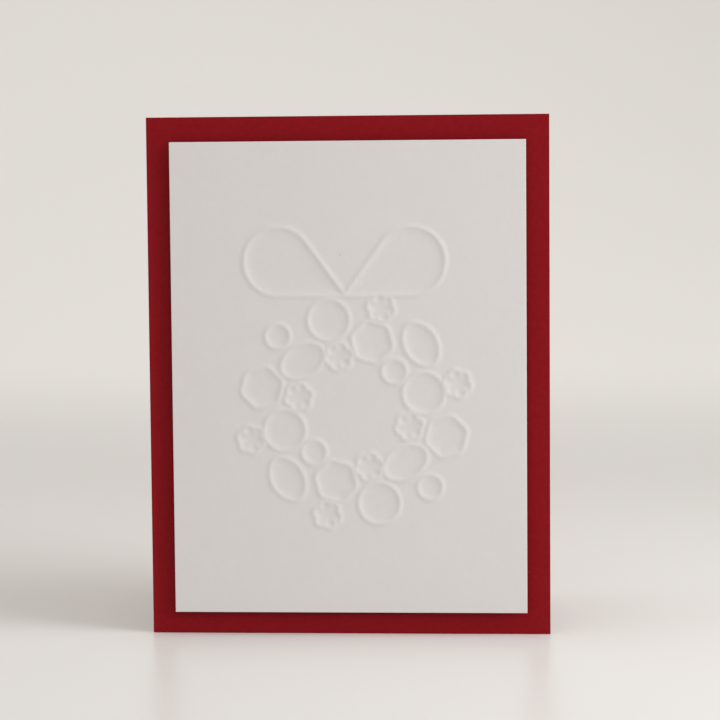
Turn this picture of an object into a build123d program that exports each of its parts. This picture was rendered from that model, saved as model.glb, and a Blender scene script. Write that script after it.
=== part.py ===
"""Greeting card: a folded card that carries an embossed panel on foam pads.

X runs along the card's width, Y from front to back and Z up. The origin is the middle of the
front leaf's bottom edge, halfway through the sheet. The fold is on the left, at -X, and the back
leaf opens behind the front one.
"""
import os
from math import asin, cos, radians, sin

from build123d import *

os.makedirs("parts", exist_ok=True)

# All lengths are in millimetres and all angles in degrees.

# The folded card, a single sheet
card_width = 107.95
card_height = 139.7
card_thickness = 0.35
opening_angle = 30.0
crease_radius = 0.25  # inside the crease
shoulder_radius = 8.0  # the gentle bend on each side of the crease, at mid-sheet
shoulder_angle = 12.0

# The panel, placed by hand a little below and right of the leaf's middle
border_width = 6.35
panel_thickness = 0.3
panel_drop = 0.3
panel_shift = 0.15

# The foam pads between the card and the panel
foam_size = 10.0
foam_thickness = 1.6
foam_inset = 2.5  # from the panel's edges

# The section of the embossing: a raised bead round a shallow field
bead_height = 0.18
bead_foot = 1.45  # from the bead's crest to the flat sheet
wall_run = 1.7  # from the bead's crest to the floor of the field
field_depth = 0.1

# The ring of motifs, one large and one small motif in each sector
sector_count = 12
first_sector_angle = 105.0
large_outer_reach = 25.6
small_inner_reach = 15.4
small_outer_reach = 28.8
large_inner_reach = 19.4
ring_shift = 1.35  # from the panel's middle
ring_drop = 9.0

# The motifs, each measured along the crest of its bead
disc_diameter = 10.8
dot_diameter = 6.2
hexagon_width = 10.0
hexagon_floor_corner = 0.3  # the corner's radius at the floor of the field
leaf_length = 13.4
leaf_width = 8.4
leaf_floor_tip = 0.3
leaf_lean = 75.0  # from the sector's own direction
rosette_valley_diameter = 5.6
rosette_petal_diameter = 7.2
rosette_petals = 6

# The bow, two mirrored drop-shaped loops
loop_reach = 20.0  # from the knot to the centre of the loop's round end
loop_radius = 9.0
loop_lean = 27.0
knot_shift = -0.9
knot_rise = 22.3  # above the panel's middle

# Worked out from the sizes above
panel_width = card_width - 2 * border_width
panel_height = card_height - 2 * border_width
leaf_face = card_thickness / 2
panel_back = leaf_face + foam_thickness
panel_front = panel_back + panel_thickness
panel_x = panel_shift
panel_z = card_height / 2 - panel_drop


def front_plane(distance):
    """A plane facing the viewer, this far in front of the front leaf's mid-sheet."""
    return Plane(origin=(panel_x, -distance, panel_z), x_dir=(1, 0, 0), z_dir=(0, -1, 0))


def motif_plane(motif, level):
    """The plane of one motif's outline, raised above the panel's front by level."""
    place = Location((motif["x"], motif["y"], level), (0, 0, motif["turn"]))
    return Plane(front_plane(panel_front).location * place)


# Outlines, each drawn round its own origin and grown outwards by a distance


def disc_outline(grow):
    Circle(disc_diameter / 2 + grow)


def dot_outline(grow):
    Circle(dot_diameter / 2 + grow)


def hexagon_outline(grow):
    shape = RegularPolygon(hexagon_width / 2 + grow, 6, major_radius=False)
    fillet(shape.vertices(), hexagon_floor_corner + wall_run + grow)


def leaf_outline(grow):
    half_length = leaf_length / 2 + grow
    half_width = leaf_width / 2 + grow
    with BuildLine() as edge:
        ThreePointArc((-half_length, 0), (0, half_width), (half_length, 0))
        ThreePointArc((half_length, 0), (0, -half_width), (-half_length, 0))
    shape = make_face(edge.edges())
    fillet(shape.vertices(), leaf_floor_tip + wall_run + grow)


def rosette_outline(grow):
    tip = rosette_petal_diameter / 2 + grow
    valley = tip * rosette_valley_diameter / rosette_petal_diameter
    step = 360 / rosette_petals
    with BuildLine() as edge:
        for petal in range(rosette_petals):
            start = Vector(valley, 0).rotate(Axis.Z, petal * step)
            top = Vector(tip, 0).rotate(Axis.Z, (petal + 0.5) * step)
            end = Vector(valley, 0).rotate(Axis.Z, (petal + 1) * step)
            ThreePointArc(start, top, end)
    make_face(edge.edges())


def loop_outline(grow):
    radius = loop_radius + grow
    half_angle = asin(loop_radius / loop_reach)
    touch = Vector(loop_reach - radius * sin(half_angle), radius * cos(half_angle))
    mirrored_touch = Vector(touch.X, -touch.Y)
    tip = Vector(-grow / sin(half_angle), 0)
    with BuildLine() as edge:
        Line(tip, touch)
        ThreePointArc(touch, (loop_reach + radius, 0), mirrored_touch)
        Line(mirrored_touch, tip)
    make_face(edge.edges())


# Where the motifs lie, from the panel's middle

large_outlines = [disc_outline, hexagon_outline, leaf_outline]
small_outlines = [rosette_outline, rosette_outline, dot_outline]
motifs = []
for sector in range(sector_count):
    angle = first_sector_angle - sector * 360 / sector_count
    large_outline = large_outlines[sector % 3]
    small_outline = small_outlines[sector % 3]
    large_reach = large_outer_reach if sector % 2 == 0 else large_inner_reach
    small_reach = small_inner_reach if sector % 2 == 0 else small_outer_reach
    lean = leaf_lean if large_outline is leaf_outline else 0
    for outline, reach, turn in (
        (large_outline, large_reach, angle + lean),
        (small_outline, small_reach, angle),
    ):
        x = ring_shift + reach * cos(radians(angle))
        y = -ring_drop + reach * sin(radians(angle))
        motifs.append({"outline": outline, "x": x, "y": y, "turn": turn})
for turn in (loop_lean, 180 - loop_lean):
    motifs.append({"outline": loop_outline, "x": knot_shift, "y": knot_rise, "turn": turn})


# The folded card: both leaves, their shoulders and the crease as one bent sheet

crease_middle_radius = crease_radius + card_thickness / 2
crease_turn = 180 - opening_angle - 2 * shoulder_angle
shoulder_reach = (shoulder_radius - crease_middle_radius) * sin(radians(shoulder_angle))
leaf_start_x = -card_width / 2 + card_thickness / 2 + crease_middle_radius + shoulder_reach
leaf_length_flat = card_width / 2 - leaf_start_x

with BuildPart() as card_base:
    with BuildSketch(Plane.XY):
        with BuildLine():
            front_leaf = Line((card_width / 2, 0), (leaf_start_x, 0))
            front_shoulder = JernArc(front_leaf @ 1, front_leaf % 1, shoulder_radius, -shoulder_angle)
            crease = JernArc(front_shoulder @ 1, front_shoulder % 1, crease_middle_radius, -crease_turn)
            back_shoulder = JernArc(crease @ 1, crease % 1, shoulder_radius, -shoulder_angle)
            Line(back_shoulder @ 1, back_shoulder @ 1 + (back_shoulder % 1) * leaf_length_flat)
        trace(line_width=card_thickness)
    extrude(amount=card_height)
card_base.part.label = "card_base"
export_step(card_base.part, "parts/card_base.step")


# The embossed panel: a thick block with the relief on its face, less the same block moved back
# by the sheet's thickness, which leaves a sheet that is equally thick all over

block_depth = 4 * panel_thickness

with BuildPart() as relief_block:
    with BuildSketch(front_plane(panel_front)):
        Rectangle(panel_width, panel_height)
    extrude(amount=-block_depth)
    for motif in motifs:
        with BuildSketch(motif_plane(motif, 0)):
            motif["outline"](bead_foot)
        with BuildSketch(motif_plane(motif, bead_height)):
            motif["outline"](0)
        loft(ruled=True)
    for motif in motifs:
        with BuildSketch(motif_plane(motif, bead_height)):
            motif["outline"](0)
        with BuildSketch(motif_plane(motif, -field_depth)):
            motif["outline"](-wall_run)
        loft(ruled=True, mode=Mode.SUBTRACT)

with BuildPart() as embossed_panel:
    add(relief_block.part)
    add(relief_block.part.moved(Location((0, panel_thickness, 0))), mode=Mode.SUBTRACT)
embossed_panel.part.label = "embossed_panel"
export_step(embossed_panel.part, "parts/embossed_panel.step")


# The foam pads: three rows of three, the middle row level with the ring's open centre. Foam gives
# way where the back of the embossing reaches it

column_reach = panel_width / 2 - foam_inset - foam_size / 2
row_reach = panel_height / 2 - foam_inset - foam_size / 2
pad_places = [
    (-column_reach, row_reach),
    (knot_shift, row_reach),
    (column_reach, row_reach),
    (-column_reach, -ring_drop),
    (ring_shift, -ring_drop),
    (column_reach, -ring_drop),
    (-column_reach, -row_reach),
    (ring_shift, -row_reach),
    (column_reach, -row_reach),
]
for number, place in enumerate(pad_places, start=1):
    with BuildPart() as foam_pad:
        with BuildSketch(front_plane(leaf_face)):
            with Locations(place):
                Rectangle(foam_size, foam_size)
        extrude(amount=foam_thickness)
        add(embossed_panel.part, mode=Mode.SUBTRACT)
    foam_pad.part.label = f"foam_pad_{number}"
    export_step(foam_pad.part, f"parts/foam_pad_{number}.step")
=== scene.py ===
"""The greeting card's looks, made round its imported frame. Lengths are in metres."""
from math import asin, atan2, cos, exp, pi, radians, sin, sqrt, tan

import bpy
import numpy as np
from bpy.props import FloatProperty, FloatVectorProperty, IntProperty, PointerProperty
from mathutils import Matrix, Vector


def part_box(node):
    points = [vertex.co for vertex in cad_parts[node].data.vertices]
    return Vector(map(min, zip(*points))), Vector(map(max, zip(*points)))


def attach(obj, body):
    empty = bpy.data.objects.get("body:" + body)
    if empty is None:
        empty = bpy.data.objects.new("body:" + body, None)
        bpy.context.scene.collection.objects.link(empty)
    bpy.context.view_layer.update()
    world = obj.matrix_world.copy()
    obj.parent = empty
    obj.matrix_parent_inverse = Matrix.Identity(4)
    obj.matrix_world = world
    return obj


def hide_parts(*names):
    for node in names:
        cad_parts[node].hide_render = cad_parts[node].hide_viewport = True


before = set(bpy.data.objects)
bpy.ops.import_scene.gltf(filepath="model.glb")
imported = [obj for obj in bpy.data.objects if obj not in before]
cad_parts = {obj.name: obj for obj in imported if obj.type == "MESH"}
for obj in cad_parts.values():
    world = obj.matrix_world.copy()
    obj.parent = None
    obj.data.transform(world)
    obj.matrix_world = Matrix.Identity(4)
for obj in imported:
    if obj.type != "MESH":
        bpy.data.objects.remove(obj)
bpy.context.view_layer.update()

bl_info = {
    "name": "Greeting Card",
    "version": (1, 0, 0),
    "blender": (4, 5, 0),
    "location": "3D View > Sidebar > Card",
    "description": "Makes a folded card with a blind-embossed panel on foam pads",
    "category": "Add Mesh",
}

MM = 0.001


# Colours


def linear(hex_colour):
    """An sRGB hex colour as linear red, green and blue."""
    parts = np.array([int(hex_colour[i : i + 2], 16) for i in (1, 3, 5)]) / 255
    return tuple(np.where(parts <= 0.04045, parts / 12.92, ((parts + 0.055) / 1.055) ** 2.4))


def rgba(colour):
    """A linear colour with full alpha, as a socket takes it."""
    return (*colour, 1.0)


# The places that the frame gives

PANEL_LOW, PANEL_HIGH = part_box("embossed_panel")
BASE_LOW, BASE_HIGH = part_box("card_base")


# Settings that a user would change


def length(name, description, default):
    """A length in metres, given in millimetres."""
    return FloatProperty(name=name, description=description, default=default * MM, min=0, unit="LENGTH")


def colour(name, description, default):
    """A colour, given as sRGB hex."""
    return FloatVectorProperty(
        name=name, description=description, default=linear(default), size=3, min=0, max=1, subtype="COLOR"
    )


class EmbossingSettings(bpy.types.PropertyGroup):
    """The section of the relief, and the sizes and places of the ring and the bow."""

    bead_height: length("Bead height", "Height of the raised bead above the sheet", 0.18)
    bead_foot: length("Bead foot", "From the bead's crest out to the flat sheet", 1.45)
    wall_fall: length("Wall fall", "From the crest in to where the wall is two thirds of its way down", 0.8)
    field_depth: length("Field depth", "Depth of the field below the sheet", 0.1)
    stiffness: length("Stiffness", "Size of the sharpest bend that the thick sheet takes", 0.25)
    sheet_thickness: length("Sheet thickness", "Thickness of the panel's cardstock", 0.3)
    sectors: IntProperty(name="Sectors", description="Pairs of motifs round the ring", default=12, min=3)
    first_angle: FloatProperty(
        name="First angle",
        description="Direction of the first sector",
        default=radians(105),
        subtype="ANGLE",
    )
    large_outer_reach: length("Outer large reach", "Ring's middle to a large motif on the outside", 25.6)
    small_inner_reach: length("Inner small reach", "Ring's middle to a small motif on the inside", 15.4)
    small_outer_reach: length("Outer small reach", "Ring's middle to a small motif on the outside", 28.8)
    large_inner_reach: length("Inner large reach", "Ring's middle to a large motif on the inside", 19.4)
    ring_shift: length("Ring shift", "Ring's middle to the right of the panel's", 1.35)
    ring_drop: length("Ring drop", "Ring's middle below the panel's", 9.0)
    disc_diameter: length("Disc", "Diameter of a large disc, at its crest", 10.8)
    dot_diameter: length("Dot", "Diameter of a small disc, at its crest", 6.2)
    hexagon_width: length("Hexagon", "Width across a hexagon's flats, at its crest", 10.0)
    corner_radius: length("Corner", "Radius of the hexagons' corners and the leaves' tips", 2.0)
    leaf_length: length("Leaf length", "Length of a leaf, at its crest", 13.4)
    leaf_width: length("Leaf width", "Width of a leaf, at its crest", 8.4)
    leaf_lean: FloatProperty(
        name="Leaf lean", description="Turn of a leaf from its sector", default=radians(75), subtype="ANGLE"
    )
    rosette_valley: length("Rosette valley", "Diameter between a rosette's petals", 5.6)
    rosette_petal: length("Rosette petal", "Diameter over a rosette's petals", 7.2)
    petals: IntProperty(name="Petals", description="Petals of a rosette", default=6, min=3)
    loop_reach: length("Loop reach", "The knot to the centre of a bow loop's round end", 20.0)
    loop_radius: length("Loop radius", "Radius of a bow loop's round end", 9.0)
    loop_lean: FloatProperty(
        name="Loop lean", description="Rise of each bow loop's axis", default=radians(27), subtype="ANGLE"
    )
    knot_shift: length("Knot shift", "The knot to the left of the panel's middle", 0.9)
    knot_rise: length("Knot rise", "The knot above the panel's middle", 22.3)
    fine_step: length("Fine step", "Spacing of the mesh lines over the relief", 0.3)
    coarse_step: length("Coarse step", "Spacing of the mesh lines over the plain margins", 2.5)


class CardColours(bpy.types.PropertyGroup):
    """The colours of the card's three materials."""

    base: colour("Base card", "Dyed red cardstock", "#7F1219")
    # painted highlight: a lighter red along the crease, standing in for light caught by the fold's rounding
    painted_crease_highlight: colour("Crease", "Stretched fibres along the crease", "#931820")
    panel: colour("Panel", "White cardstock", "#D7D3D1")
    fleck: colour("Fleck", "Dark fibre flecks in the white cardstock", "#6E5F58")
    foam: colour("Foam", "White mounting foam", "#E6E4DF")


class StageSettings(bpy.types.PropertyGroup):
    """The floor, the lights and the camera."""

    floor: colour("Floor", "Satin floor", "#E2DFDC")
    backdrop: colour("Backdrop", "Plain backdrop", "#F6F3EF")
    distance: colour("Distance", "What shows past the floor's edge", "#DAD6D3")
    key_power: FloatProperty(
        name="Key power", description="Power of the key lamp in watts", default=1.4, min=0
    )
    fill_strength: FloatProperty(
        name="Fill", description="Strength of the light from all round", default=0.77, min=0
    )


def settings():
    """The three groups of settings, kept on the scene."""
    scene = bpy.context.scene
    return scene.card_embossing, scene.card_colours, scene.card_stage


# Nodes


def add_node(tree, kind, inputs=None, **options):
    """Adds one shader node.

    Its inputs go by name, or by number where the node repeats a name. Each takes a value, or a
    socket to be linked to.
    """
    node = tree.nodes.new("ShaderNode" + kind)
    for name, value in options.items():
        setattr(node, name, value)
    for name, value in (inputs or {}).items():
        if isinstance(value, bpy.types.NodeSocket):
            tree.links.new(value, node.inputs[name])
        else:
            node.inputs[name].default_value = value
    return node


def new_material(name):
    """An empty material, with its node tree and its Principled shader."""
    material = bpy.data.materials.new(name)
    material.use_nodes = True
    tree = material.node_tree
    return material, tree, tree.nodes["Principled BSDF"]


# The Mix node repeats its names for each kind of data. These are the numbers of its colour sockets
MIX_SHARE, MIX_UNDER, MIX_OVER = 0, 6, 7
MIX_RESULT = 2


def overlaid(tree, value, low, high, under, over, most=1.0):
    """The socket of one colour laid over another.

    The upper colour's share rises smoothly from 0 to most as the value goes from low to high.
    """
    share = add_node(
        tree,
        "MapRange",
        {"Value": value, "From Min": low, "From Max": high, "To Min": 0.0, "To Max": most},
        interpolation_type="SMOOTHSTEP",
    )
    inputs = {MIX_SHARE: share.outputs["Result"], MIX_UNDER: under, MIX_OVER: over}
    return add_node(tree, "Mix", inputs, data_type="RGBA").outputs[MIX_RESULT]


def shade(colour, factor):
    """A colour made lighter or darker by a factor."""
    return rgba(tuple(min(1.0, part * factor) for part in colour))


# Materials

FIBRE_SIZE = 0.35 * MM  # the matted fibres, drawn at about twice their real width so that they show
FELT_SIZE = 1.6 * MM  # the soft unevenness that the papermaker's felt leaves
FLOC_SIZE = 1.3 * MM  # the clumps of fibres in a sheet, which show as faint mottling
CLOUD_SIZE = 9 * MM  # uneven take-up of dye over the sheet
CELL_SIZE = 0.35 * MM  # the foam's closed cells
CELL_DEPTH = 0.08 * MM  # of the cells that the blade opened
CELL_PAINTED_SHADE = 0.8  # painted shade in the pit of each cut cell, as a share of the foam's colour at the cell's middle
FOAM_GLOW = 0.4 * MM  # how far light travels inside the foam
FIBRE_LIE = (1.0, 1.0, 0.45)  # the fibres lie mostly along the card's height
FINER_SHARE = 0.55  # how much of each coarser layer of a pattern its next finer one has

# The layers of tone in each sheet, laid one over the other. Each has its size, its number of finer
# layers, the stretch of its pattern over which it comes in, the most of it that shows, and its
# shade of the sheet's colour
BASE_LAYERS = [
    (CLOUD_SIZE, 3.0, (0.2, 0.8), 1.0, 1.03),
    (FLOC_SIZE, 1.0, (0.3, 0.7), 0.5, 1.2),
    (FIBRE_SIZE, 3.0, (0.35, 0.75), 0.35, 1.25),
]
BASE_DARKEST = 0.97  # shade of the colour under the layers
PANEL_LAYERS = [
    (CLOUD_SIZE, 3.0, (0.2, 0.8), 1.0, 1.007),
    (FLOC_SIZE, 1.0, (0.3, 0.7), 0.5, 0.98),
    (FIBRE_SIZE, 3.0, (0.55, 0.8), 0.2, 0.95),
]
PANEL_DARKEST = 0.993

# A painted highlight along the crease, standing in for light caught by the fold's rounding, from the card's
# edge
CREASE_HIGHLIGHT_LINE = 0.5 * MM  # as far as this the painted highlight is brightest
CREASE_HIGHLIGHT_FADE = 2.2 * MM
CREASE_HIGHLIGHT_SHARE = 0.55  # of the painted highlight's colour in it

# Each fleck's place right of and above the panel's middle, and its radius
FLECKS = [
    (-2.0 * MM, 33.2 * MM, 0.3 * MM),
    (-39.3 * MM, 1.4 * MM, 0.25 * MM),
]
FLECK_CORE = 0.4  # share of its radius over which a fleck is darkest
FLECK_SHARE = 0.75  # of the fleck's own colour in it


def paper_tone(tree, place, colour, darkest, layers):
    """The socket of a sheet's colour: its darkest shade, with each layer laid over the last."""
    tone = shade(colour, darkest)
    for size, finer, (low, high), most, factor in layers:
        noise = add_node(
            tree,
            "TexNoise",
            {"Vector": place, "Scale": 1 / size, "Detail": finer, "Roughness": FINER_SHARE},
        )
        tone = overlaid(tree, noise.outputs["Fac"], low, high, tone, shade(colour, factor), most)
    return tone


def paper_bump(tree, place, felt_depth, fibre_depth):
    """The socket of the normals of a matted sheet: fine fibres on a softer, wider felt mark."""
    lying = add_node(tree, "Mapping", {"Vector": place, "Scale": FIBRE_LIE}).outputs["Vector"]
    normals = {}
    for size, finer, depth in ((FELT_SIZE, 1.0, felt_depth), (FIBRE_SIZE, 4.0, fibre_depth)):
        noise = add_node(
            tree,
            "TexNoise",
            {"Vector": lying, "Scale": 1 / size, "Detail": finer, "Roughness": FINER_SHARE},
        )
        bump = add_node(
            tree, "Bump", {"Height": noise.outputs["Fac"], "Distance": depth, "Strength": 1.0, **normals}
        )
        normals = {"Normal": bump.outputs["Normal"]}
    return bump.outputs["Normal"]


def base_cardstock(colours):
    """Dyed cardstock, uncoated and calendered.

    The dye runs right through, so the cut edges are as red as the faces. The matted fibres give a
    dull surface with a faint wide sheen, and a lighter red painted along the crease stands in for
    the light that the fold's rounding catches.
    """
    material, tree, shader = new_material("dyed_red_cardstock")
    place = add_node(tree, "TexCoord").outputs["Object"]
    dye_and_crease_highlight = paper_tone(tree, place, colours.base, BASE_DARKEST, BASE_LAYERS)
    # A painted highlight along the crease: a lighter red standing in for light caught by the fold's
    # rounding, fading out from the card's edge
    across = add_node(tree, "SeparateXYZ", {"Vector": place}).outputs["X"]
    fade_end = BASE_LOW.x + CREASE_HIGHLIGHT_FADE
    line_end = BASE_LOW.x + CREASE_HIGHLIGHT_LINE
    dye_and_crease_highlight = overlaid(tree, across, fade_end, line_end, dye_and_crease_highlight, rgba(colours.painted_crease_highlight), CREASE_HIGHLIGHT_SHARE)
    tree.links.new(dye_and_crease_highlight, shader.inputs["Base Color"])
    normals = paper_bump(tree, place, felt_depth=0.03 * MM, fibre_depth=0.03 * MM)
    tree.links.new(normals, shader.inputs["Normal"])
    shader.inputs["Roughness"].default_value = 0.6
    shader.inputs["Specular IOR Level"].default_value = 0.06
    return material


def panel_cardstock(colours):
    """White cardstock, uncoated and smooth.

    It scatters light almost evenly, so the relief shows only by soft shading. Its fibres give a
    barely uneven tone, and two dark fibre flecks lie in it.
    """
    material, tree, shader = new_material("smooth_white_cardstock")
    place = add_node(tree, "TexCoord").outputs["Object"]
    tone = paper_tone(tree, place, colours.panel, PANEL_DARKEST, PANEL_LAYERS)
    middle = (PANEL_LOW + PANEL_HIGH) / 2
    for right, up, radius in FLECKS:
        spot = Vector((middle.x + right, PANEL_LOW.y, middle.z + up))
        apart = add_node(tree, "VectorMath", {0: place, 1: spot}, operation="DISTANCE").outputs["Value"]
        tone = overlaid(tree, apart, radius, FLECK_CORE * radius, tone, rgba(colours.fleck), FLECK_SHARE)
    tree.links.new(tone, shader.inputs["Base Color"])
    normals = paper_bump(tree, place, felt_depth=0.02 * MM, fibre_depth=0.012 * MM)
    tree.links.new(normals, shader.inputs["Normal"])
    shader.inputs["Roughness"].default_value = 0.75
    shader.inputs["Specular IOR Level"].default_value = 0.3
    return material


def mounting_foam(colours):
    """Closed-cell polyethylene foam tape, cut with a blade.

    Its cut cells give a pitted, dull white side that lets a little light in. Shade is painted into
    the colour, darkest at the middle of each cell's pit.
    """
    material, tree, shader = new_material("white_polyethylene_foam")
    place = add_node(tree, "TexCoord").outputs["Object"]
    cells = add_node(tree, "TexVoronoi", {"Vector": place, "Scale": 1 / CELL_SIZE}).outputs["Distance"]
    # painted shade: the foam's colour darkens towards the middle of each cut cell's pit
    tone = overlaid(tree, cells, 0.0, 1.0, shade(colours.foam, CELL_PAINTED_SHADE), rgba(colours.foam))
    tree.links.new(tone, shader.inputs["Base Color"])
    bump = add_node(tree, "Bump", {"Height": cells, "Distance": CELL_DEPTH, "Strength": 1.0})
    tree.links.new(bump.outputs["Normal"], shader.inputs["Normal"])
    shader.inputs["Roughness"].default_value = 0.9
    shader.inputs["Subsurface Weight"].default_value = 0.2
    shader.inputs["Subsurface Radius"].default_value = (FOAM_GLOW, FOAM_GLOW, FOAM_GLOW)
    return material


# The relief

BELL_REACH = 3  # widths of a bell curve past which it is taken as nothing


# Signed distances of the motifs: below zero inside the crest of the bead, above zero outside


def disc_distance(x, y, diameter):
    """Distance from the centre, less the radius."""
    return np.hypot(x, y) - diameter / 2


def hexagon_distance(x, y, width, corner):
    """The point is folded into one of six sectors, then measured from that sector's flat side."""
    side = width / 2 - corner
    angle = np.arctan2(y, x)
    angle = angle - np.round(angle / (pi / 3)) * (pi / 3)
    reach = np.hypot(x, y)
    beyond = reach * np.cos(angle) - side
    along = np.maximum(np.abs(reach * np.sin(angle)) - side * tan(pi / 6), 0)
    return np.where(beyond > 0, np.hypot(beyond, along), beyond) - corner


def leaf_distance(x, y, leaf_length, leaf_width, corner):
    """The greater of the distances from two equal circles that cross, rounded at their tips."""
    half_length = leaf_length / 2
    half_width = leaf_width / 2
    radius = (half_length**2 + half_width**2) / (2 * half_width)
    offset = radius - half_width
    first = np.hypot(x, y + offset) - radius
    second = np.hypot(x, y - offset) - radius
    blend = np.maximum(corner - np.abs(first - second), 0) / corner
    return np.maximum(first, second) + blend**2 * corner / 4


def rosette_distance(x, y, valley, petal, petals):
    """The point is folded onto one petal, then measured from the petal's arc or its end in the valley."""
    step = 2 * pi / petals
    angle = np.mod(np.arctan2(y, x), step) - step / 2
    reach = np.hypot(x, y)
    along = reach * np.cos(angle)
    aside = np.abs(reach * np.sin(angle))
    chord_middle = valley / 2 * cos(step / 2)
    chord_half = valley / 2 * sin(step / 2)
    bulge = petal / 2 - chord_middle
    radius = (chord_half**2 + bulge**2) / (2 * bulge)
    centre = petal / 2 - radius
    facing = np.arctan2(aside, along - centre) <= atan2(chord_half, chord_middle - centre)
    from_arc = np.hypot(along - centre, aside) - radius
    return np.where(facing, from_arc, -np.hypot(along - chord_middle, aside - chord_half))


def loop_distance(x, y, reach, radius):
    """Distance from a drop: a circle and the two lines that run from it to the knot."""
    y = np.abs(y)
    half_angle = asin(radius / reach)
    along = x * cos(half_angle) + y * sin(half_angle)
    aside = y * cos(half_angle) - x * sin(half_angle)
    from_end = np.hypot(x - reach, y) - radius
    distance = np.where(along > sqrt(reach**2 - radius**2), from_end, aside)
    return np.where((along < 0) & (aside > 0), np.hypot(x, y), distance)


def turned(x, y, centre_x, centre_y, angle):
    """Coordinates in a frame that is moved to a centre and turned by an angle."""
    right = x - centre_x
    up = y - centre_y
    return right * cos(angle) + up * sin(angle), up * cos(angle) - right * sin(angle)


def motifs_distance(x, y, sheet):
    """The least distance from any motif of the ring or loop of the bow."""

    def disc(u, v):
        return disc_distance(u, v, sheet.disc_diameter)

    def dot(u, v):
        return disc_distance(u, v, sheet.dot_diameter)

    def hexagon(u, v):
        return hexagon_distance(u, v, sheet.hexagon_width, sheet.corner_radius)

    def leaf(u, v):
        return leaf_distance(u, v, sheet.leaf_length, sheet.leaf_width, sheet.corner_radius)

    def rosette(u, v):
        return rosette_distance(u, v, sheet.rosette_valley, sheet.rosette_petal, sheet.petals)

    def loop(u, v):
        return loop_distance(u, v, sheet.loop_reach, sheet.loop_radius)

    large_motifs = [disc, hexagon, leaf]
    small_motifs = [rosette, rosette, dot]
    loop_leans = (sheet.loop_lean, pi - sheet.loop_lean)
    places = [(loop, -sheet.knot_shift, sheet.knot_rise, lean) for lean in loop_leans]
    for sector in range(sheet.sectors):
        angle = sheet.first_angle - sector * 2 * pi / sheet.sectors
        large = large_motifs[sector % len(large_motifs)]
        small = small_motifs[sector % len(small_motifs)]
        large_outside = sector % 2 == 0
        large_reach = sheet.large_outer_reach if large_outside else sheet.large_inner_reach
        small_reach = sheet.small_inner_reach if large_outside else sheet.small_outer_reach
        lean = sheet.leaf_lean if large is leaf else 0
        for motif, reach, turn in ((large, large_reach, angle + lean), (small, small_reach, angle)):
            centre_x = sheet.ring_shift + reach * cos(angle)
            centre_y = -sheet.ring_drop + reach * sin(angle)
            places.append((motif, centre_x, centre_y, turn))
    least = np.full(x.shape, np.inf)
    for motif, centre_x, centre_y, turn in places:
        least = np.minimum(least, motif(*turned(x, y, centre_x, centre_y, turn)))
    return least


def half_wave(share):
    """Falls smoothly from 1 to 0 as share goes from 0 to 1, like half a cosine wave."""
    return (1 + np.cos(pi * np.clip(share, 0, 1))) / 2


def relief(x, y, sheet):
    """Height above the sheet.

    Outside a motif's crest a half wave falls from the bead to the sheet. Inside it the height dies
    away to the field, steep at the crest and ever gentler, as a stiff sheet sinks into a die.
    """
    distance = motifs_distance(x, y, sheet)
    outside = sheet.bead_height * half_wave(distance / sheet.bead_foot)
    fall = np.exp(np.minimum(distance, 0) / sheet.wall_fall)
    inside = (sheet.bead_height + sheet.field_depth) * fall - sheet.field_depth
    return np.where(distance > 0, outside, inside)


def softened(height, step, sheet):
    """The height blurred by a bell curve along both axes, then brought back to the bead's full height."""
    reach = round(BELL_REACH * sheet.stiffness / step)
    shifts = range(-reach, reach + 1)
    weights = [exp(-((shift * step / sheet.stiffness) ** 2) / 2) for shift in shifts]
    for axis in (0, 1):
        height = sum(w * np.roll(height, shift, axis) for w, shift in zip(weights, shifts)) / sum(weights)
    return height * sheet.bead_height / height.max()


# The embossed panel

CUT_ROUNDING = 0.1 * MM  # how far the blade turns the panel's cut edge
BACK_STRIDE = 3  # the unseen back takes every third line of the front


def graded_lines(borders, steps):
    """Line positions between borders, evenly spaced in each stretch, in multiples of the stride."""
    stretches = []
    for low, high, step in zip(borders, borders[1:], steps):
        count = BACK_STRIDE * max(1, round((high - low) / step / BACK_STRIDE))
        stretches.append(np.linspace(low, high, count, endpoint=False))
    return np.concatenate([*stretches, borders[-1:]])


def grid_quads(columns, rows, first):
    """Corner numbers of a grid's quads, column by column, for points numbered from first."""
    column, row = np.meshgrid(np.arange(columns - 1), np.arange(rows - 1), indexing="ij")
    corner = (first + column * rows + row).ravel()
    return np.stack([corner, corner + rows, corner + rows + 1, corner + 1], axis=1)


def rim_faces(front, back):
    """Six-cornered faces between a front border and a back border that has a third of its points."""
    start = np.arange(len(back) - 1)
    fronts = [front[start * BACK_STRIDE + step] for step in range(BACK_STRIDE + 1)]
    return np.stack([*fronts, back[start + 1], back[start]], axis=1)


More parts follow.
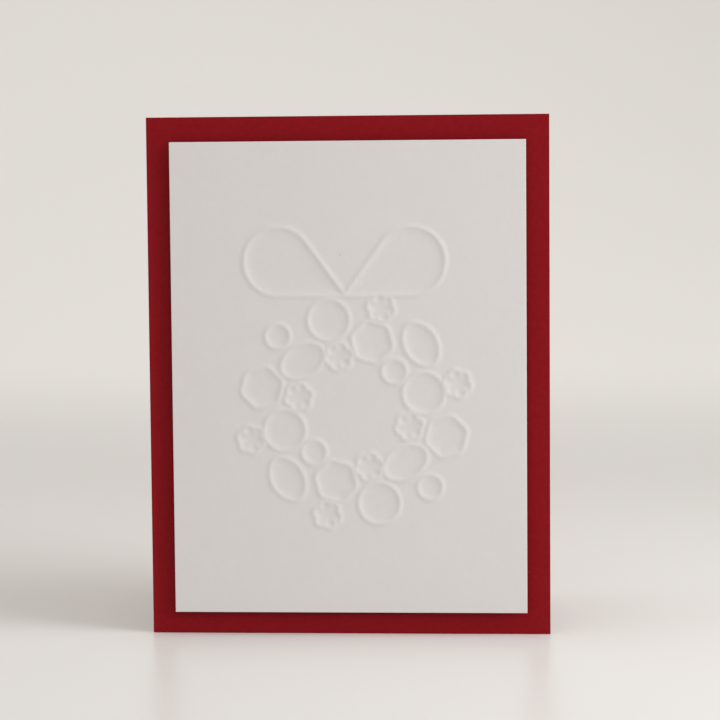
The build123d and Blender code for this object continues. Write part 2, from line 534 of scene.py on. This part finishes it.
def panel_mesh(sheet):
    """An embossed sheet: the front is a height above its plane, the back the same one sheet deeper."""
    low, high = PANEL_LOW, PANEL_HIGH
    middle = (low + high) / 2
    half_width = (high.x - low.x) / 2
    half_height = (high.z - low.z) / 2
    margin = 2 * sheet.bead_foot
    ring_reach = sheet.small_outer_reach + sheet.rosette_petal / 2 + margin
    left = sheet.ring_shift - ring_reach
    right = sheet.ring_shift + ring_reach
    bottom = -sheet.ring_drop - ring_reach
    top = sheet.knot_rise + sheet.loop_reach * sin(sheet.loop_lean) + sheet.loop_radius + margin
    edge = 2 * CUT_ROUNDING
    steps = (CUT_ROUNDING / 2, sheet.coarse_step, sheet.fine_step, sheet.coarse_step, CUT_ROUNDING / 2)
    x = graded_lines([-half_width, edge - half_width, left, right, half_width - edge, half_width], steps)
    y = graded_lines(
        [-half_height, edge - half_height, bottom, top, half_height - edge, half_height], steps
    )
    across, up = np.meshgrid(x, y, indexing="ij")
    height = softened(relief(across, up, sheet), sheet.fine_step, sheet)
    from_edge = np.minimum(half_width - np.abs(across), half_height - np.abs(up))
    rounding = CUT_ROUNDING * (1 - np.sqrt(1 - (1 - np.clip(from_edge / CUT_ROUNDING, 0, 1)) ** 2))
    face = low.y + sheet.bead_height - height
    front = np.stack([middle.x + across, face + rounding, middle.z + up], axis=-1)
    coarse = (slice(None, None, BACK_STRIDE), slice(None, None, BACK_STRIDE))
    back = np.stack(
        [front[coarse][..., 0], face[coarse] + sheet.sheet_thickness, front[coarse][..., 2]], axis=-1
    )
    columns, rows = across.shape
    back_columns, back_rows = back.shape[:2]
    front_ids = np.arange(columns * rows).reshape(columns, rows)
    back_ids = columns * rows + np.arange(back_columns * back_rows).reshape(back_columns, back_rows)
    quads = np.concatenate(
        [grid_quads(columns, rows, 0), grid_quads(back_columns, back_rows, columns * rows)[:, ::-1]]
    )
    rims = np.concatenate(
        [
            rim_faces(front_ids[:, 0], back_ids[:, 0])[:, ::-1],
            rim_faces(front_ids[:, -1], back_ids[:, -1]),
            rim_faces(front_ids[0], back_ids[0]),
            rim_faces(front_ids[-1], back_ids[-1])[:, ::-1],
        ]
    )
    mesh = bpy.data.meshes.new("embossed_sheet")
    points = np.concatenate([front.reshape(-1, 3), back.reshape(-1, 3)])
    mesh.from_pydata(points, [], quads.tolist() + rims.tolist())
    smooth = np.ones(len(mesh.polygons), dtype=bool)
    smooth[len(quads) :] = False
    mesh.polygons.foreach_set("use_smooth", smooth)
    mesh.update()
    return mesh


def show(name, mesh, material):
    """A new object at the origin with one material."""
    mesh.materials.append(material)
    piece = bpy.data.objects.new(name, mesh)
    bpy.context.scene.collection.objects.link(piece)
    return piece


class CARD_OT_base(bpy.types.Operator):
    """Give the folded card its dyed cardstock"""

    bl_idname = "card.base"
    bl_label = "Base card"

    def execute(self, context):
        _, colours, _ = settings()
        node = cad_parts["card_base"]
        node.material_slots[0].material = base_cardstock(colours)
        return {"FINISHED"}


class CARD_OT_panel(bpy.types.Operator):
    """Make the embossed panel"""

    bl_idname = "card.panel"
    bl_label = "Embossed panel"

    def execute(self, context):
        embossing, colours, _ = settings()
        piece = show("embossed_sheet", panel_mesh(embossing), panel_cardstock(colours))
        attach(piece, "root")
        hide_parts("embossed_panel")
        return {"FINISHED"}


class CARD_OT_pads(bpy.types.Operator):
    """Give the mounting pads their foam"""

    bl_idname = "card.pads"
    bl_label = "Foam pads"

    def execute(self, context):
        _, colours, _ = settings()
        foam = mounting_foam(colours)
        for name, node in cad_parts.items():
            if name.startswith("foam_pad"):
                node.material_slots[0].material = foam
        return {"FINISHED"}


# The stage

# The camera stands a little right of the card's middle and near its top edge's height
CAMERA_PLACE = Vector((48.5, -657.2, 127.8)) * MM
CAMERA_AZIMUTH = radians(3.95)
CAMERA_ELEVATION = radians(4.64)
CAMERA_ROLL = radians(-0.5)
CAMERA_LENS = 123.0  # for a sensor 36 mm wide
SENSOR_WIDTH = 36.0

KEY_AZIMUTH = radians(72)
KEY_ELEVATION = radians(23)
KEY_DISTANCE = 0.65
KEY_SIZE = 0.5
KEY_SPREAD = radians(105)  # a fabric grid keeps the lamp's light off the floor beneath it

KEY_COLOUR = "#FCFEFF"
FILL_COLOUR = "#FFFDFB"

SWEEP_START = 0.30  # behind the card, where the floor begins to rise
SWEEP_RADIUS = 0.5
BACKDROP_START = 0.035  # the height at which the floor's colour has become the backdrop's
SWEEP_LINES = 33  # mesh lines across the quarter circle
STAGE_HALF_WIDTH = 3.0
STAGE_FRONT = -3.0
STAGE_TOP = 3.0


def direction(azimuth, elevation):
    """The way from the card towards something seen in front of it, turned right and raised."""
    return Vector((sin(azimuth) * cos(elevation), -cos(azimuth) * cos(elevation), sin(elevation)))


def sweep_mesh():
    """A floor that rises in a quarter circle into a wall, carried straight along X."""
    turn = np.linspace(0, pi / 2, SWEEP_LINES)
    along = np.concatenate([[STAGE_FRONT], SWEEP_START + SWEEP_RADIUS * np.sin(turn)])
    height = np.concatenate([[0.0], SWEEP_RADIUS * (1 - np.cos(turn))])
    along = np.append(along, along[-1])
    height = np.append(height, STAGE_TOP)
    x = np.array([-STAGE_HALF_WIDTH, STAGE_HALF_WIDTH])
    points = np.stack(
        [
            np.repeat(x, len(along)),
            np.tile(along, 2),
            np.tile(height, 2),
        ],
        axis=1,
    )
    mesh = bpy.data.meshes.new("sweep")
    mesh.from_pydata(points, [], grid_quads(2, len(along), 0).tolist())
    mesh.polygons.foreach_set("use_smooth", np.ones(len(mesh.polygons), dtype=bool))
    mesh.update()
    return mesh


def sweep_material(stage):
    """Satin-painted board: pale, with a faint blurred reflection of what stands on it."""
    material, tree, shader = new_material("satin_white_board")
    place = add_node(tree, "TexCoord").outputs["Object"]
    height = add_node(tree, "SeparateXYZ", {"Vector": place}).outputs["Z"]
    tone = overlaid(tree, height, 0.0, BACKDROP_START, rgba(stage.floor), rgba(stage.backdrop))
    tree.links.new(tone, shader.inputs["Base Color"])
    shader.inputs["Roughness"].default_value = 0.3
    shader.inputs["Specular IOR Level"].default_value = 0.15
    return material


class CARD_OT_stage(bpy.types.Operator):
    """Make the floor, the backdrop, the lights and the camera"""

    bl_idname = "card.stage"
    bl_label = "Stage"

    def execute(self, context):
        _, _, stage = settings()
        show("sweep", sweep_mesh(), sweep_material(stage))
        self.light(stage)
        self.camera()
        return {"FINISHED"}

    def light(self, stage):
        """A soft key from the front right, and an even fill from all round."""
        lamp = bpy.data.lights.new("key", "AREA")
        lamp.shape = "DISK"
        lamp.size = KEY_SIZE
        lamp.spread = KEY_SPREAD
        lamp.energy = stage.key_power
        lamp.color = linear(KEY_COLOUR)
        key = bpy.data.objects.new("key", lamp)
        target = Vector((0, 0, BASE_HIGH.z / 2))
        aim = direction(KEY_AZIMUTH, KEY_ELEVATION)
        key.location = target + aim * KEY_DISTANCE
        key.rotation_mode = "QUATERNION"
        key.rotation_quaternion = aim.to_track_quat("Z", "Y")
        key.visible_glossy = False
        bpy.context.scene.collection.objects.link(key)
        self.surroundings(stage)

    def surroundings(self, stage):
        """Even light from all round, which shows as the far backdrop where it is looked at."""
        world = bpy.data.worlds.new("studio")
        world.use_nodes = True
        tree = world.node_tree
        fill = tree.nodes["Background"]
        fill.inputs["Color"].default_value = rgba(linear(FILL_COLOUR))
        fill.inputs["Strength"].default_value = stage.fill_strength
        seen = add_node(tree, "Background", {"Color": rgba(stage.distance), "Strength": 1.0})
        rays = add_node(tree, "LightPath")
        looked_at = rays.outputs["Is Camera Ray"]
        for kind in ("Is Glossy Ray", "Is Transmission Ray"):
            looked_at = add_node(
                tree, "Math", {0: looked_at, 1: rays.outputs[kind]}, operation="MAXIMUM"
            ).outputs["Value"]
        mix = add_node(
            tree, "MixShader", {0: looked_at, 1: fill.outputs["Background"], 2: seen.outputs["Background"]}
        )
        tree.links.new(mix.outputs["Shader"], tree.nodes["World Output"].inputs["Surface"])
        bpy.context.scene.world = world

    def camera(self):
        """The camera looks back along its own direction, rolled a little."""
        lens = bpy.data.cameras.new("camera")
        lens.lens = CAMERA_LENS
        lens.sensor_width = SENSOR_WIDTH
        lens.clip_start = 0.01
        lens.clip_end = 20
        camera = bpy.data.objects.new("camera", lens)
        back = direction(CAMERA_AZIMUTH, CAMERA_ELEVATION)
        level_right = Vector((0, 0, 1)).cross(back).normalized()
        level_up = back.cross(level_right)
        right = level_right * cos(CAMERA_ROLL) + level_up * sin(CAMERA_ROLL)
        up = back.cross(right)
        axes = Matrix((right, up, back)).transposed().to_4x4()
        camera.matrix_world = Matrix.Translation(CAMERA_PLACE) @ axes
        bpy.context.scene.collection.objects.link(camera)
        bpy.context.scene.camera = camera
        bpy.context.scene.view_settings.view_transform = "Standard"


class CARD_PT_sidebar(bpy.types.Panel):
    """The card's operators and settings"""

    bl_label = "Greeting card"
    bl_idname = "CARD_PT_sidebar"
    bl_space_type = "VIEW_3D"
    bl_region_type = "UI"
    bl_category = "Card"

    def draw(self, context):
        for operator in OPERATORS:
            self.layout.operator(operator.bl_idname)
        for group in settings():
            for name in group.__annotations__:
                self.layout.prop(group, name)


GROUPS = {
    "card_embossing": EmbossingSettings,
    "card_colours": CardColours,
    "card_stage": StageSettings,
}
OPERATORS = (CARD_OT_base, CARD_OT_panel, CARD_OT_pads, CARD_OT_stage)


def register():
    """Adds the settings, the operators and the sidebar to Blender."""
    for item in (*GROUPS.values(), *OPERATORS, CARD_PT_sidebar):
        bpy.utils.register_class(item)
    for name, group in GROUPS.items():
        setattr(bpy.types.Scene, name, PointerProperty(type=group))


def unregister():
    """Takes them all away again."""
    for name in GROUPS:
        delattr(bpy.types.Scene, name)
    for item in (CARD_PT_sidebar, *reversed(OPERATORS), *GROUPS.values()):
        bpy.utils.unregister_class(item)


def main():
    """Makes every piece in order."""
    register()
    bpy.ops.card.base()
    bpy.ops.card.panel()
    bpy.ops.card.pads()
    bpy.ops.card.stage()


if __name__ == "__main__":
    main()
